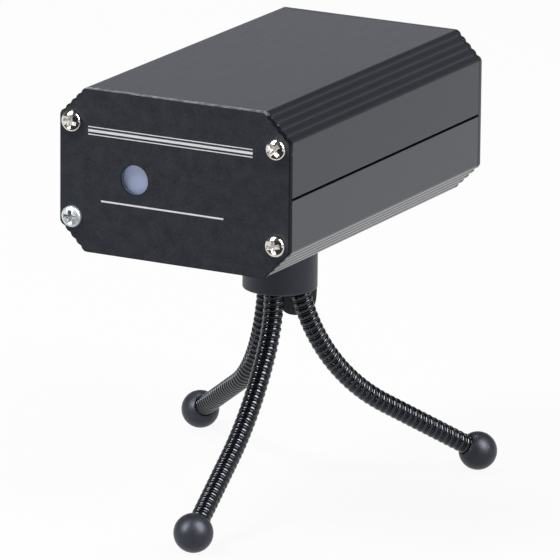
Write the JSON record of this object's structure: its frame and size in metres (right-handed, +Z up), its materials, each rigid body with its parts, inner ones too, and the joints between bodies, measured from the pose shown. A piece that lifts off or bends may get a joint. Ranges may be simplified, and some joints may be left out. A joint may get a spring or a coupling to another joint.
{
  "type": "laser show projector",
  "caption": "Small box-shaped laser show projector in a two-half extruded case with a round beam aperture, on a mini tripod with bendable gooseneck legs and ball feet.",
  "frame": {"origin": "on the floor, under the axis of the tripod head", "axes": "+Z up, the front plate with its beam aperture faces -Y"},
  "size_m": [0.1234, 0.1635, 0.1552],
  "materials": {
    "anodised_case": "black satin anodised, fine drawn grain",
    "plate_black": "black fine-grain powder coat",
    "bright_screws": "bright nickel plate",
    "window_glass": "clear with a pale blue coating",
    "wheel_plastic": "moulded black",
    "bare_aluminium": "milled",
    "brass": "turned",
    "board": "green solder mask",
    "control_black": "moulded black",
    "head_black": "matt black moulding",
    "stud_steel": "zinc plate",
    "neck_black": "gloss black wound steel",
    "foot_rubber": "satin black rubber"
  },
  "bodies": {
    "case": {"upper_shell": "anodised_case", "lower_shell": "anodised_case", "front_plate": "plate_black", "rear_plate": "plate_black", "front_screws": "bright_screws", "rear_screws": "bright_screws", "aperture_window": "window_glass", "grating_bracket": "bare_aluminium", "bracket_screws": "bright_screws", "grating_motor": "bare_aluminium", "optics_base": "bare_aluminium", "base_screws": "bright_screws", "green_laser": "brass", "red_laser": "brass", "laser_lenses": "window_glass", "beam_combiner": "window_glass", "combiner_post": "bare_aluminium", "circuit_board": "board", "board_parts": "board", "fan_frame": "wheel_plastic", "fan_screws": "bright_screws", "dc_jack": "control_black", "switch_body": "control_black", "switch_nut": "bright_screws", "pot_body": "control_black", "pot_nut": "bright_screws", "microphone": "control_black", "tripod_nut": "brass"},
    "grating": {"grating_wheel": "wheel_plastic", "grating_disc": "window_glass"},
    "pinion": {"motor_pinion": "wheel_plastic"},
    "fan": {"fan_rotor": "wheel_plastic"},
    "switch": {"switch_lever": "bright_screws"},
    "knob": {"speed_knob": "control_black"},
    "head": {"tripod_head": "head_black", "tripod_stud": "stud_steel"},
    "leg_front": {"gooseneck_front": "neck_black", "foot_front": "foot_rubber"},
    "leg_right": {"gooseneck_right": "neck_black", "foot_right": "foot_rubber"},
    "leg_left": {"gooseneck_left": "neck_black", "foot_left": "foot_rubber"}
  },
  "joints": [
    {"name": "head_turn", "type": "hinge", "parent": "case", "child": "head", "pos_m": [0, 0, 0.098], "axis": [0, 0, 1], "range_deg": [-180, 180]},
    {"name": "grating_spin", "type": "hinge", "parent": "case", "child": "grating", "pos_m": [-0.0151, -0.0677, 0.1256], "axis": [0, 1, 0], "continuous": true},
    {"name": "pinion_spin", "type": "hinge", "parent": "case", "child": "pinion", "pos_m": [0.001, -0.0677, 0.1256], "axis": [0, 1, 0], "continuous": true},
    {"name": "fan_spin", "type": "hinge", "parent": "case", "child": "fan", "pos_m": [0.017, 0.0588, 0.1267], "axis": [0, 1, 0], "continuous": true},
    {"name": "switch_tilt", "type": "hinge", "parent": "case", "child": "switch", "pos_m": [-0.0275, 0.0663, 0.1347], "axis": [1, 0, 0], "range_deg": [-12, 12]},
    {"name": "speed_turn", "type": "hinge", "parent": "case", "child": "knob", "pos_m": [-0.011, 0.0648, 0.1177], "axis": [0, 1, 0], "range_deg": [-140, 140]},
    {"name": "leg_bend_front", "type": "hinge", "parent": "head", "child": "leg_front", "pos_m": [0.00186, -0.00876, 0.06314], "axis": [-0.9934, -0.1149, 0], "range_deg": [-45, 35], "deforming": ["gooseneck_front"]},
    {"name": "leg_bend_right", "type": "hinge", "parent": "head", "child": "leg_right", "pos_m": [0.00894, 0.00369, 0.06341], "axis": [0.7997, -0.6004, 0], "range_deg": [-45, 35], "deforming": ["gooseneck_right"]},
    {"name": "leg_bend_left", "type": "hinge", "parent": "head", "child": "leg_left", "pos_m": [-0.00824, 0.00461, 0.06323], "axis": [0.6794, 0.7337, 0], "range_deg": [-45, 35], "deforming": ["gooseneck_left"]}
  ],
  "couplings": [
    {"joint": "pinion_spin", "follows": "grating_spin", "ratio": -3.6}
  ]
}
